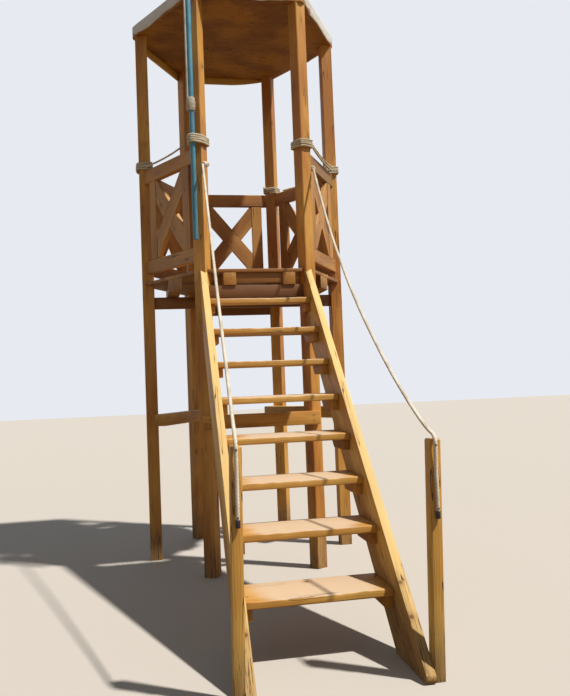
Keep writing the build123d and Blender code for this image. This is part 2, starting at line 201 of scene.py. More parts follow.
def timber(name, grain, heart, pale=golden, deep=brown, grey_below=0, cracks=0.55, worn=None, boards=0):
    """Stained pine: rings about the heart, fibre along the grain, knots and drying cracks."""
    finish = Finish(name)
    place = finish.place()
    if grain:
        along = finish.turned(place, heart, grain)
    else:
        along = finish.node("ShaderNodeAttribute", {"attribute_name": "grain"}, output="Vector")
    tone = finish.cloud(along, (1.3, 6, 6), 3.0)
    if boards:
        number = (finish.axis(place, "Y") / boards).whole()
        chance = finish.node("ShaderNodeTexWhiteNoise", {"noise_dimensions": "1D"}, {"W": number})
        tone = tone + (chance - 0.5) * 0.5
    drift = finish.cloud(along, (1.1, 5, 5), 1.0)
    cell = {"Vector": along, "Scale": knots_a_metre, "Randomness": 1.0}
    nearest = finish.node("ShaderNodeTexVoronoi", inputs=cell)
    chance = finish.axis(finish.node("ShaderNodeTexVoronoi", inputs=cell, output="Color"), "X")
    chosen = finish.ramp(chance, knot_rarity, knot_rarity + 0.02)
    knot = finish.ramp(nearest, knot_edge, knot_centre) * chosen
    around_knot = finish.ramp(nearest, knot_swirl, knot_centre) * chosen
    radius = finish.size(finish.stretched(along, (0, 1, 1)))
    rings = (radius + drift * ring_drift + around_knot * ring_bend) / ring_width
    late = finish.ramp(rings.part(), 0.3, 0.95)
    fibre = finish.cloud(along, (7, 330, 330), 3.0, 0.6)
    streak = finish.cloud(along, (2.2, 60, 60), 3.0, 0.6)
    split_line = finish.cloud(along, (1.5, 34, 34), 1.0)
    split_zone = finish.cloud(along, (3.1, 11, 11), 2.0)
    split = finish.ramp(abs(split_line - 0.5), crack_edge, crack_middle)
    crack = split * finish.ramp(split_zone, cracks, cracks + 0.05)
    colour = finish.mix(finish.ramp(tone, 0.32, 0.68), pale, deep)
    colour = finish.mix(late * 0.24, colour, dark_stain)
    colour = finish.mix(finish.ramp(streak, 0.52, 0.82) * 0.34, colour, dark_stain)
    colour = finish.mix(finish.ramp(fibre, 0.35, 0.75) * 0.18, colour, dark_stain)
    rough = 0.44 + fibre * 0.22
    # A paler colour on the upward faces near a middle line: real foot wear on the treads, and painted
    # sunlight on the strings' upper edges.
    if worn:
        wear_and_light_middle, wear_and_light_reach, wear_and_light_colour = worn
        normal = finish.node("ShaderNodeNewGeometry", output="Normal")
        facing_up = finish.ramp(finish.axis(normal, "Z"), 0.4, 0.9)
        offset = abs(finish.axis(place, "X") - wear_and_light_middle) + (tone - 0.5) * 0.25
        bare_and_lit = finish.ramp(offset, wear_and_light_reach + wear_and_light_fade, wear_and_light_reach - wear_and_light_fade) * facing_up
        bare_and_lit = bare_and_lit * finish.ramp(streak, 0.95, 0.6)
        colour = finish.mix(bare_and_lit * 0.9, colour, wear_and_light_colour)
        rough = rough + bare_and_lit * 0.2
    if grey_below:
        low = finish.axis(place, "Z") + (streak - 0.5) * grey_below
        grey = finish.ramp(low, grey_below, grey_below * 0.2)
        colour = finish.mix(grey * 0.6, colour, weather_grey)
        crack = crack + grey * finish.ramp(abs(streak - 0.5), 0.02, 0.006) * 0.8
        rough = rough + grey * 0.25
    colour = finish.mix(around_knot * 0.4, colour, dark_stain)
    colour = finish.mix(knot * 0.85, colour, knot_brown)
    colour = finish.mix(crack * 0.9, colour, crack_black)
    height = late * 0.25 + fibre * 0.45 + streak * 0.4 - crack * 2.5
    return finish.done(colour, rough, height, grain_depth)


def dress(name, material):
    """Gives a material to a piece that keeps its shape."""
    for slot in cad_nodes[name].material_slots:
        slot.material = material


for index, letter in enumerate(post_names):
    angle = math.radians(post_bearing(letter))
    from_ring = Vector((post_circle + post_heart_out, post_heart_aside * (index - 2), 0))
    heart = ring_middle + Matrix.Rotation(angle, 3, "Z") @ from_ring
    heart.z = post_knots_apart * index
    up_the_post = (0, upright, angle)
    post_pine = timber("post_pine_" + letter, up_the_post, heart, post_golden, post_brown, post_grey_below)
    dress("post_" + letter, post_pine)

# The girts brace the posts at mid height: a board let into the front corners of the stair posts, and square
# timbers lapped inside the posts on the right and on the left. Screwed, with their arrises taken off.
frame_brown = paint(144, 94, 38)
# The darker brown is painted shade, for the bearers under the deck.
painted_shade_dark = paint(112, 68, 28)
along_x = (0, 0, 0)
merge_within = 0.00005
smooth_below = math.radians(35)


def alone(piece):
    """Selects one piece and nothing else."""
    bpy.ops.object.select_all(action="DESELECT")
    piece.select_set(True)
    bpy.context.view_layer.objects.active = piece


def linked(name, data):
    """A new object in the scene, with the mesh, curve, lamp or camera that it is given."""
    made = bpy.data.objects.new(name, data)
    bpy.context.scene.collection.objects.link(made)
    return made


def fitted(piece, material):
    """Puts a shaped piece on the tower, in its material."""
    piece.data.materials.clear()
    piece.data.materials.append(material)
    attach(piece, "root")
    return piece


def round_arrises(piece, width, sharper_than=28):
    """Rounds the edges at which the faces turn by more than so many degrees."""
    rounding = piece.modifiers.new("rounding", "BEVEL")
    rounding.width = width
    rounding.segments = 2
    rounding.limit_method = "ANGLE"
    rounding.angle_limit = math.radians(sharper_than)
    bpy.ops.object.modifier_apply(modifier="rounding")


def finish_piece(piece, name, material, width):
    """Rounds the edges of a modelled piece and puts it on the tower."""
    piece.name = name
    alone(piece)
    round_arrises(piece, width)
    bpy.ops.object.shade_smooth_by_angle(angle=smooth_below)
    fitted(piece, material)


def eased(name, material, width=0.003):
    """A timber with its edges rounded, in the place of the sharp one."""
    piece = linked(name, cad_nodes[name].data.copy())
    alone(piece)
    bpy.ops.mesh.customdata_custom_splitnormals_clear()
    bpy.ops.object.mode_set(mode="EDIT")
    bpy.ops.mesh.select_all(action="SELECT")
    bpy.ops.mesh.remove_doubles(threshold=merge_within)
    bpy.ops.mesh.dissolve_limited(angle_limit=math.radians(1))
    bpy.ops.object.mode_set(mode="OBJECT")
    finish_piece(piece, "eased_" + name, material, width)
    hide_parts(name)
    return piece


def side_turn(side):
    """The direction of a side between two posts. The back side, ef, runs along X."""
    return math.radians(post_bearing(side[0]) + 30 - 90)


def heart_near(name, offset):
    """A place for the heart of the tree, as far as the offset from the middle of a timber sawn from it."""
    low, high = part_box(name)
    return (low + high) / 2 + Vector(offset)


front_girt_heart = (0.2, 0.24, 1.02)
girt_heart = (0.01, 0.02, 0.015)
front_girt_pine = timber("front_girt_pine", along_x, front_girt_heart, post_golden, post_brown)
eased("girt_front", front_girt_pine)
for name, side in (("girt_right", "de"), ("girt_left", "fa")):
    girt_pine = timber(name + "_pine", (0, 0, side_turn(side)), heart_near(name, girt_heart))
    eased(name, girt_pine)

# Bearers, joists and a nogging under the deck. Sawn pine, coloured darker than the rest. On the bearers the
# darker colour is painted shade, and the front bearer is darkest, as the painted shadow of the deck's edge.
# The bearers are screwed between the posts and the joists lie on them.
# Painted shade: the bearers take the darkest browns, and the front bearer the darkest of all as the painted
# shadow of the deck's edge.
painted_shadow_bearer = paint(84, 50, 20)
bearer_heart = (0.3, 0.03, -0.07)
joist_heart = (0.012, 0.5, -0.01)
along_y = (0, 0, math.pi / 2)
joists = ("joist_left_outer", "joist_left", "joist_right", "joist_right_outer")
for name in ("bearer_front", "bearer_middle", "bearer_back", "nogging"):
    pale, deep = (painted_shade_dark, painted_shadow_bearer) if name == "bearer_front" else (frame_brown, painted_shade_dark)
    bearer_pine = timber(name + "_pine", along_x, heart_near(name, bearer_heart), pale, deep)
    eased(name, bearer_pine)
for name in joists:
    joist_pine = timber(name + "_pine", along_y, heart_near(name, joist_heart), brown, frame_brown)
    eased(name, joist_pine)

# The deck: ten boards of sawn pine, trimmed to the hexagon and notched round the posts. They are nailed to
# the joists with narrow gaps between them, and each has a tone of its own.
board_pitch = 0.138
deck_heart = (0.1, 1.0, 2.02)
deck_pine = timber("deck_pine", along_x, deck_heart, brown, frame_brown, boards=board_pitch)
eased("deck_boards", deck_pine, width=0.0025)

# The top rails: pine boards on edge from post to post round the five closed sides, with rounded arrises,
# screwed through the posts. The rail on side cd is painted a darker, greyer brown as painted shade.
closed_sides = ("ab", "cd", "de", "ef", "fa")
# Painted shade: the darker greyish brown for the rail on side cd.
rail_painted_shade = paint(150, 116, 74)
rail_golden = paint(204, 144, 70)
rail_brown = paint(158, 102, 46)
rail_heart = (0.02, 0.03, -0.075)
for side in closed_sides:
    heart = heart_near("top_rail_" + side, rail_heart)
    pale, deep = (rail_painted_shade, frame_brown) if side == "cd" else (rail_golden, rail_brown)
    dress("top_rail_" + side, timber("rail_pine_" + side, (0, 0, side_turn(side)), heart, pale, deep))

# The balustrade panels: two stiles, a bottom rail and two boards that are halved where they cross. Each is
# planed pine, screwed together from the edges and between the posts.
stile_width = 0.090
bottom_rail_depth = 0.100
panel_half_width = 0.273
panel_arris = 0.003
brace_width = 0.125
brace_thickness = 0.032
brace_lean = math.radians(50.3)
splay = math.radians(30)
joint_gap = 0.0007
panel_knots_apart = 4.0
panel_rings_apart = 0.008
panel_pine = timber("panel_pine", None, None, paint(204, 150, 80), paint(160, 108, 52))


def settled():
    """The primitive that was just added, with its place, turn and size in its mesh."""
    bpy.ops.object.transform_apply(location=True, rotation=True, scale=True)
    return bpy.context.object


def cut(planes, **kept):
    """Cuts the chosen piece by planes, each a point and a direction."""
    bpy.ops.object.mode_set(mode="EDIT")
    for point, direction in planes:
        bpy.ops.mesh.select_all(action="SELECT")
        bpy.ops.mesh.bisect(plane_co=point, plane_no=direction, **kept)
    bpy.ops.object.mode_set(mode="OBJECT")


def bar(size, middle, lean, cuts, shift):
    """A sawn bar along X before it leans, cut by planes, with its grain marked on its points."""
    bpy.ops.object.select_all(action="DESELECT")
    bpy.ops.mesh.primitive_cube_add(size=1, location=middle, rotation=(0, lean, 0), scale=size)
    piece = settled()
    cut(cuts, use_fill=True, clear_outer=True)
    round_arrises(piece, panel_arris, sharper_than=30)
    straighten = Euler((0, lean, 0)).to_matrix().inverted()
    from_heart = Vector((shift, 0.03 + shift * 0.01, 0.05))
    grain = piece.data.attributes.new("grain", "FLOAT_VECTOR", "POINT")
    for vertex, mark in zip(piece.data.vertices, grain.data):
        mark.vector = straighten @ (vertex.co - Vector(middle)) + from_heart
    return piece


def joined(pieces):
    """Several pieces made one."""
    alone(pieces[0])
    for piece in pieces[1:]:
        piece.select_set(True)
    bpy.ops.object.join()
    return bpy.context.object


def back_panel():
    """The panel on side ef, from which the other four are copied. Each bar has its own stretch of grain."""
    low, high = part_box("lattice_panel_ef")
    rail_top = low.z + bottom_rail_depth
    depth = high.y - low.y
    height = high.z - rail_top
    half_opening = panel_half_width - stile_width
    crossing = Vector((0, (low.y + high.y) / 2, (rail_top + high.z) / 2))
    bars = []
    for end in (-1, 1):
        place = crossing + Vector((end * (panel_half_width - stile_width / 2), 0, 0))
        bars.append(bar((height, depth, stile_width), place, upright, (), 2.0 + end))
    rail_cuts = []
    for end in (-1, 1):
        corner = (end * high.x, high.y, crossing.z)
        rail_cuts.append((corner, (end * math.cos(splay), -math.sin(splay), 0)))
    rail_size = (2 * high.x, depth, bottom_rail_depth)
    rail_middle = (0, crossing.y, low.z + bottom_rail_depth / 2)
    bars.append(bar(rail_size, rail_middle, 0, rail_cuts, 5.0))
    frame_cuts = [
        ((half_opening, 0, 0), (1, 0, 0)),
        ((-half_opening, 0, 0), (-1, 0, 0)),
        ((0, 0, high.z - joint_gap), (0, 0, 1)),
        ((0, 0, rail_top), (0, 0, -1)),
    ]
    brace_size = (2 * height, brace_thickness, brace_width)
    bars.append(bar(brace_size, crossing, brace_lean, frame_cuts, 7.0))
    across = Vector((math.sin(brace_lean), 0, math.cos(brace_lean)))
    for end in (-1, 1):
        edge = crossing + end * across * (brace_width / 2 + joint_gap)
        cuts = frame_cuts + [(edge, -end * across)]
        bars.append(bar(brace_size, crossing, -brace_lean, cuts, 9.0 + end))
    return joined(bars)


first_panel = back_panel()
for number, side in enumerate(closed_sides):
    panel = linked("crossed_panel_" + side, first_panel.data.copy())
    to_side = Matrix.Rotation(side_turn(side), 4, "Z")
    panel.data.transform(Matrix.Translation(ring_middle) @ to_side @ Matrix.Translation(-ring_middle))
    own_grain = Vector((panel_knots_apart * number, panel_rings_apart * number, 0))
    for mark in panel.data.attributes["grain"].data:
        mark.vector = mark.vector + own_grain
    fitted(panel, panel_pine)
    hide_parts("lattice_panel_" + side)
bpy.data.objects.remove(first_panel)

# The stair's strings: two thick planks on edge, screwed to the outside of the stair posts. Their upper
# edges are painted a paler gold as painted sunlight, and their feet are grey, cracked and worn round by the
# sand.
stair_rise = 0.2222
stair_going = 0.2182
up_the_stair = (0, -math.atan(stair_rise / stair_going), math.pi / 2)
# Painted sunlight: the paler gold laid on the upward faces of the strings.
sunlit_top_gold = paint(230, 198, 132)
sunlit_top_reach = 0.3
string_grey_below = 0.55
string_heart = Vector((0.09, 0, -0.1))
for name in ("stringer_left", "stringer_right"):
    low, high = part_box(name)
    middle = (low.x + high.x) / 2
    heart = Vector((middle, high.y, high.z)) + string_heart
    plank_pine = timber(
        name + "_pine", up_the_stair, heart, grey_below=string_grey_below, cracks=0.5,
        worn=(middle, sunlit_top_reach, sunlit_top_gold))
    eased(name, plank_pine, width=0.004)

# The cleats: short blocks of sawn pine, in the same darker browns as the joists. They are screwed inside the
# strings, one under each end of every tread.
cleat_heart = Vector((-0.05, 0, -0.2))
for name in ("cleats_left", "cleats_right"):
    low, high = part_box(name)
    cleat_pine = timber(name + "_pine", along_y, low + cleat_heart, brown, frame_brown)
    eased(name, cleat_pine, width=0.0025)

# The treads: planks between the strings, laid on the cleats. Their middles are worn to bare wood by feet,
# while the ends and the front edges keep their stain.
tread_count = 8
tread_golden = paint(206, 160, 78)
bare_tan = paint(202, 178, 150)
bare_reach = 0.27
tread_knots_apart = 0.4
tread_rings_apart = 0.02
tread_heart_below = 0.07
wear_spacing = 0.022
wear_reach = 0.02
deepest_wear = 0.006
trodden_half = 0.33


def cut_across(piece, places):
    """Edges all round a piece at places along X, so that it can be shaped there."""
    alone(piece)
    cut([((x, 0, 0), (1, 0, 0)) for x in places])


def worn_plank(name, material):
    """A tread with its front edge trodden hollow and splintered, more in the middle than at the ends."""
    low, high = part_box(name)
    middle = (low.x + high.x) / 2
    piece = eased(name, material, width=0.005)
    cut_count = int((high.x - low.x) / wear_spacing)
    cut_across(piece, [low.x + index * wear_spacing for index in range(1, cut_count)])
    for vertex in piece.data.vertices:
        near_front = max(0, 1 - (vertex.co.y - low.y) / wear_reach)
        near_top = max(0, 1 - (high.z - vertex.co.z) / wear_reach)
        in_middle = max(0, 1 - (abs(vertex.co.x - middle) / trodden_half) ** 2)
        dents = noise.noise(Vector((vertex.co.x * 21, low.y * 7, 1.0)))
        splinters = noise.noise(Vector((vertex.co.x * 60, low.y * 9, 4.0)))
        rough = dents + 0.5 * splinters
        wear = near_front * near_top * deepest_wear * max(0, 0.25 + 0.6 * in_middle + 0.7 * rough)
        vertex.co.y += wear * 0.6
        vertex.co.z -= wear


tread_names = ["tread_" + str(number) for number in range(1, tread_count + 1)]
for number, name in enumerate(tread_names, 1):
    low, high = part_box(name)
    heart_y = (low.y + high.y) / 2 + tread_rings_apart * (number % 3)
    heart = Vector((tread_knots_apart * number, heart_y, low.z - tread_heart_below))
    bare_middle = ((low.x + high.x) / 2, bare_reach, bare_tan)
    worn_plank(name, timber(name + "_pine", along_x, heart, tread_golden, cracks=0.62, worn=bare_middle))

# The screws: countersunk steel heads with a slot, a little rusty. Two are driven down into each end of every
# tread, and two into each end of the front girt.
screw_radius = 0.0048
head_depth = 0.002
head_lift = 0.0002
head_dome = 0.0007
slot_depth = 0.0016
turn_between_heads = 1.7
tread_screw_inset = (0.024, 0.020)
tread_screw_shares = (0.26, 0.76)
girt_screw_inset = 0.045
girt_screw_shares = (0.3, 0.72)
steel = Finish("rusty_steel")
rust = steel.cloud(steel.place(), (300, 300, 300), 3.0)
steel_colour = steel.mix(steel.ramp(rust, 0.4, 0.62), paint(128, 122, 114), paint(92, 54, 30))
steel.feed(steel.shader.inputs["Metallic"], steel.ramp(rust, 0.62, 0.4) * 0.8)
rusty_steel = steel.done(steel_colour, 0.45 + rust * 0.3, rust, 0.0004)


def screw_head():
    """A shallow dome with a slot in it, facing up."""
    bpy.ops.object.select_all(action="DESELECT")
    bpy.ops.mesh.primitive_cylinder_add(
        vertices=16, radius=screw_radius, depth=head_depth, location=(0, 0, head_lift))
    head = settled()
    bpy.ops.object.mode_set(mode="EDIT")
    bpy.ops.mesh.select_mode(type="FACE")
    bpy.ops.mesh.select_all(action="DESELECT")
    bpy.ops.object.mode_set(mode="OBJECT")
    for face in head.data.polygons:
        face.select = face.normal.z > 0.9
    bpy.ops.object.mode_set(mode="EDIT")
    bpy.ops.mesh.inset(thickness=screw_radius * 0.25)
    bpy.ops.transform.translate(value=(0, 0, head_dome))
    bpy.ops.mesh.inset(thickness=screw_radius * 0.3)
    bpy.ops.transform.resize(value=(1, 0.35, 1))
    bpy.ops.mesh.extrude_region_move(TRANSFORM_OT_translate={"value": (0, 0, -slot_depth)})
    bpy.ops.object.mode_set(mode="OBJECT")
    return head


pattern_head = screw_head()


def screws(name, seats):
    """Copies of the screw head at each place, turned to its face and at its own angle."""
    heads = []
    for number, (place, facing) in enumerate(seats):
        head = linked(name, pattern_head.data.copy())
        turn = Vector(facing).to_track_quat("Z", "Y").to_matrix().to_4x4()
        driven = Matrix.Rotation(turn_between_heads * number, 4, "Z")
        head.data.transform(Matrix.Translation(place) @ turn @ driven)
        heads.append(head)
    fitted(joined(heads), rusty_steel)


tread_seats = []
for name in tread_names:
    low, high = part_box(name)
    for x in (low.x + tread_screw_inset[0], high.x - tread_screw_inset[1]):
        for share in tread_screw_shares:
            tread_seats.append(((x, low.y + (high.y - low.y) * share, high.z), (0, 0, 1)))
screws("tread_screws", tread_seats)
low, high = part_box("girt_front")
girt_seats = []
for end in (-1, 1):
    for share in girt_screw_shares:
        place = (end * (high.x - girt_screw_inset), low.y, low.z + (high.z - low.z) * share)
        girt_seats.append((place, (0, -1, 0)))
screws("girt_screws", girt_seats)

# The deck's nails: small steel heads, rusty like the screws. Two are driven through every board into each
# joist.
nails_apart = 0.07
nail_margin = 0.03
deck_low, deck_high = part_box("deck_boards")
first_board = math.floor(deck_low.y / board_pitch)
board_count = math.ceil((deck_high.y - deck_low.y) / board_pitch)
deck_seats = []
for name in joists:
    low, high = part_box(name)
    for board in range(board_count):
        for offset in (-nails_apart / 2, nails_apart / 2):
            y = (first_board + board + 0.5) * board_pitch + offset
            if low.y + nail_margin < y < high.y - nail_margin:
                deck_seats.append((((low.x + high.x) / 2, y, deck_high.z), (0, 0, 1)))
screws("deck_nails", deck_seats)

# The newels: short posts outside the feet of the strings, with their top edges rounded by hand. Both have
# been pulled a little out of plumb.
newel_leans = {"newel_left": 0.020, "newel_right": 0.026}
newel_golden = paint(238, 198, 108)
newel_brown = paint(206, 152, 70)
newel_grey_below = 0.3
newel_heart = Vector((0.09, 0.06, 0.3))
for name, lean in newel_leans.items():
    low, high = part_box(name)
    heart = Vector(((low.x + high.x) / 2, high.y, 0)) + newel_heart
    newel_pine = timber(
        name + "_pine", (0, upright, 0), heart, newel_golden, newel_brown, newel_grey_below, cracks=0.5)
    newel = eased(name, newel_pine, width=0.004)
    for vertex in newel.data.vertices:
        vertex.co.x += lean * vertex.co.z

# The roof: a plywood hexagon in two halves on top of the posts, stained dark and blotched by damp, with
# boards on edge nailed round it and two more boards hung below it at the back.
plywood_brown = paint(168, 116, 34)
plywood_dark = paint(126, 80, 20)
fleck_dark = paint(66, 40, 12)
fleck_pale = paint(176, 128, 50)


def plywood(name):
    finish = Finish(name)
    place = finish.place()
    blotch = finish.cloud(place, (3.2, 4.4, 3), 4.0, 0.62)
    figure = finish.cloud(place, (1.6, 16, 8), 2.0)
    swirl = (figure * 9).part()
    fibre = finish.cloud(place, (14, 260, 40), 2.0)
    fleck = finish.cloud(place, (17, 30, 20), 4.0, 0.7)
    colour = finish.mix(finish.ramp(blotch, 0.36, 0.64), plywood_dark, plywood_brown)
    colour = finish.mix(finish.ramp(swirl, 0.5, 0.98) * 0.28, colour, plywood_dark)
    colour = finish.mix(finish.ramp(fleck, 0.56, 0.68) * 0.55, colour, fleck_dark)
    colour = finish.mix(finish.ramp(fleck, 0.42, 0.32) * 0.4, colour, fleck_pale)
    colour = finish.mix(finish.ramp(fibre, 0.45, 0.8) * 0.25, colour, plywood_dark)
    height = fibre * 0.4 + swirl * 0.2
    return finish.done(colour, 0.62 + blotch * 0.15, height, 0.0006)


for name in ("roof_sheet_front", "roof_sheet_back"):
    dress(name, plywood(name + "_ply"))
roof_edge_heart = (0.0, 1.0, 3.9)
dress("roof_edge", timber("roof_edge_pine", along_x, roof_edge_heart, brown, frame_brown))
arch_start = 0.120
arch_rise = 0.062
sweep_start = 0.030
sweep_step = 0.015
sweep_power = 1.7
edge_within = 0.006
valance_share = 0.68
valance_heart = (0.0, 0.05, -0.08)


def sweep_up(piece):
    """Draws the arched end of the back board's lower edge out into one long curve."""
    low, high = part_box("valance_back")
    cut_count = int((high.x - sweep_start) / sweep_step)
    cut_across(piece, [sweep_start + index * sweep_step for index in range(cut_count)])
    width = high.x - arch_start
    radius = (width ** 2 + arch_rise ** 2) / (2 * arch_rise)
    for vertex in piece.data.vertices:
        arched = 0.0
        if vertex.co.x > arch_start:
            arched = arch_rise - radius + math.sqrt(radius ** 2 - max(0, high.x - vertex.co.x) ** 2)
        swept = arch_rise * (max(0, vertex.co.x - sweep_start) / (high.x - sweep_start)) ** sweep_power
        if abs(vertex.co.z - low.z - arched) < edge_within:
            vertex.co.z += swept - arched


valances = {}
for name, side in (("valance_back", "ef"), ("valance_back_left", "fa")):
    valance_pine = timber(name + "_pine", (0, 0, side_turn(side)), heart_near(name, valance_heart))
    valances[name] = eased(name, valance_pine)
sweep_up(valances["valance_back"])
for name, board in valances.items():
    low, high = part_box(name)
    for vertex in board.data.vertices:
        vertex.co.z = high.z - (high.z - vertex.co.z) * valance_share

# The cover: a sheet of white coated cloth stretched over the roof and tacked under the edge boards. It is
# tight across the top, drawn in at the corners, and its hem is not quite level.
cover_low, cover_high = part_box("roof_cover")
cover_apothem = cover_high.y - ring_middle.y
cover_corner = cover_high.x
cover_skirt = cover_high.z - cover_low.z
cover_rings = 9
cover_rim = 0.994
skirt_steps = 6
cloth_thickness = 0.0022
sag_depth = 0.006
pucker_depth = 0.0016
gather_spread = 7
fold_depth = 0.0035
wave_depth = 0.007
hem_wave = 0.018
corner_lift = 0.020
tuck_depth = 0.004
tuck_start = 0.8


def off_corner(out):
    """The angle from the roof's nearest corner, in degrees."""
    return abs((math.degrees(math.atan2(out.y, out.x)) + 30) % 60 - 30)


def cover_sheet():
    """The cover as a hexagon with its corners cut, in rings, with a skirt drawn down round it."""
    bpy.ops.object.select_all(action="DESELECT")
    middle = (ring_middle.x, ring_middle.y, cover_high.z)
    bpy.ops.mesh.primitive_circle_add(vertices=120, radius=1, fill_type="NOTHING", location=middle)
    sheet = settled()
    for vertex in sheet.data.vertices:
        out = vertex.co - Vector(middle)
        to_side = cover_apothem / math.cos(math.radians(30 - off_corner(out)))
        to_corner = cover_corner / math.cos(math.radians(off_corner(out)))
        vertex.co = Vector(middle) + out.normalized() * min(to_side, to_corner)
    bpy.ops.object.mode_set(mode="EDIT")
    bpy.ops.mesh.select_mode(type="VERT")
    bpy.ops.mesh.select_all(action="SELECT")
    drop = cover_skirt / skirt_steps
    for step in range(skirt_steps):
        bpy.ops.mesh.extrude_region_move(TRANSFORM_OT_translate={"value": (0, 0, -drop)})
    bpy.ops.mesh.select_all(action="DESELECT")
    bpy.ops.object.mode_set(mode="OBJECT")
    for vertex in sheet.data.vertices:
        vertex.select = vertex.co.z > cover_high.z - drop / 2
    bpy.ops.object.mode_set(mode="EDIT")
    for ring in range(cover_rings):
        shrink = (cover_rings - ring - 0.5) / (cover_rings - ring + 0.5) if ring else cover_rim
        bpy.ops.mesh.extrude_region_move()
        bpy.ops.transform.resize(value=(shrink, shrink, 1), center_override=middle)
    bpy.ops.mesh.merge(type="CENTER")
    bpy.ops.mesh.select_all(action="SELECT")
    bpy.ops.mesh.normals_make_consistent(inside=False)
    bpy.ops.object.mode_set(mode="OBJECT")
    return sheet


def drape(sheet):
    """Sags the top a little, gathers the skirt at the corners and waves its hem."""
    for vertex in sheet.data.vertices:
        out = Vector((vertex.co.x - ring_middle.x, vertex.co.y - ring_middle.y, 0))
        down = (cover_high.z - vertex.co.z) / cover_skirt
        if down < 0.001:
            slack = max(0, 1 - (out.length / cover_apothem) ** 2)
            pucker = noise.noise(Vector((out.x * 6, out.y * 6, 0.4)))
            vertex.co.z -= sag_depth * slack + pucker_depth * (1 + pucker) * min(1, slack * 5)
            continue
        gather = math.exp(-(off_corner(out) / gather_spread) ** 2)
        fold = math.sin(math.radians(off_corner(out)) * 46) * fold_depth * gather
        wave = noise.noise(Vector((out.x * 9, out.y * 9, 2.0))) * wave_depth
        vertex.co += out.normalized() * (fold + wave) * min(1, down * 2)
        long_wave = noise.noise(Vector((out.x * 5, out.y * 5, 5.0)))
        short_wave = noise.noise(Vector((out.x * 13, out.y * 13, 8.0)))
        vertex.co.z += down * (hem_wave * (long_wave + 0.6 * short_wave) + corner_lift * gather)
        tuck = max(0, down - tuck_start) / (1 - tuck_start)
        vertex.co -= out.normalized() * tuck_depth * tuck


def cloth(name):
    finish = Finish(name)
    place = finish.place()
    dirt = finish.cloud(place, (3, 3, 6), 4.0, 0.6)
    weave = finish.cloud(place, (900, 900, 900), 1.0)
    crease = finish.cloud(place, (14, 14, 22), 3.0)
    low = finish.ramp(finish.axis(place, "Z"), cover_low.z + 0.05, cover_low.z - 0.01)
    colour = finish.mix(finish.ramp(dirt, 0.4, 0.75) * 0.5, paint(222, 219, 211), paint(196, 188, 170))
    colour = finish.mix(low * finish.ramp(crease, 0.35, 0.7) * 0.5, colour, paint(176, 168, 140))
    height = weave * 0.12 + crease * 1.2
    return finish.done(colour, 0.5 + dirt * 0.15, height, 0.003)


cover = cover_sheet()
cover.name = "stretched_cover"
drape(cover)
body = cover.modifiers.new("cloth", "SOLIDIFY")
body.thickness = cloth_thickness
body.offset = -1
bpy.ops.object.modifier_apply(modifier="cloth")
softening = cover.modifiers.new("softening", "SUBSURF")
softening.levels = 1
softening.render_levels = 1
bpy.ops.object.modifier_apply(modifier="softening")
bpy.ops.object.shade_smooth()
fitted(cover, cloth("cover_cloth"))
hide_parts("roof_cover")

# The lashings: laid rope, 16 mm thick, wound four times round each post above the top rail. On the left
# stair post the turns hold the flag pole too. Short lengths are pulled tight from post to post.
lashing_rope = 0.0165
lashing_pitch = 0.0200
lashing_turns = 4
lashing_bow = 0.006
lashing_bottom = 3.001
lashing_wander = 0.005
lashing_clear = 0.001
span_rope = 0.015
strand_share = 0.27
strand_offset = 0.232
lay_in_diameters = 2.5
pole_circle = 0.842
pole_radius = 0.018


def drawn(curve, kind, places):
    """Adds a line through, or led by, the places to a curve."""
    line = curve.splines.new(kind)
    line.points.add(len(places) - 1)
    for knot, place in zip(line.points, places):
        knot.co = (*place, 1)
    return line


def smooth_line(points):
    """The points of a smooth line that has the route's points as its controls."""
    curve = bpy.data.curves.new("route", "CURVE")
    curve.dimensions = "3D"
    curve.resolution_u = 12
    line = drawn(curve, "NURBS", points)
    line.order_u = 3
    line.use_endpoint_u = True
    carrier = linked("route", curve)
    bpy.context.view_layer.update()
    mesh = bpy.data.meshes.new_from_object(carrier)
    places = [vertex.co.copy() for vertex in mesh.vertices]
    bpy.data.objects.remove(carrier)
    return places


def evenly(route, step):
    """Points an even step apart along a route."""
    spaced = [Vector(route[0])]
    left = step
    for start, end in zip(route, route[1:]):
        run = (Vector(end) - Vector(start)).length
        travelled = left
        while travelled <= run:
            spaced.append(Vector(start).lerp(Vector(end), travelled / run))
            travelled += step
        left = travelled - run
    return spaced


def round_strands(name, strands, radius, material):
    """A piece made of round strands, each along its own line of points."""
    curve = bpy.data.curves.new(name, "CURVE")
    curve.dimensions = "3D"
    curve.bevel_depth = radius
    curve.bevel_resolution = 1
    curve.use_fill_caps = True
    for strand in strands:
        drawn(curve, "POLY", strand)
    alone(linked(name, curve))
    bpy.ops.object.convert(target="MESH")
    bpy.ops.object.shade_smooth()
    return fitted(bpy.context.object, material)


def laid_rope(name, routes, diameter, material):
    """Three strands twisted round each other along every route."""
    step = diameter / 4
    all_strands = []
    for route in routes:
        points = evenly(route, step)
        ahead = (points[1] - points[0]).normalized()
        across = ahead.orthogonal().normalized()
        strands = [[], [], []]
        for index, point in enumerate(points):
            following = points[min(index + 1, len(points) - 1)] - points[max(index - 1, 0)]
            ahead = following.normalized()
            across = (across - ahead * across.dot(ahead)).normalized()
            other = ahead.cross(across)
            for number, strand in enumerate(strands):
                turn = 2 * math.pi * (index * step / (lay_in_diameters * diameter) + number / 3)
                round_it = across * math.cos(turn) + other * math.sin(turn)
                strand.append(point + round_it * diameter * strand_offset)
        all_strands.extend(strands)
    return round_strands(name, all_strands, diameter * strand_share, material)


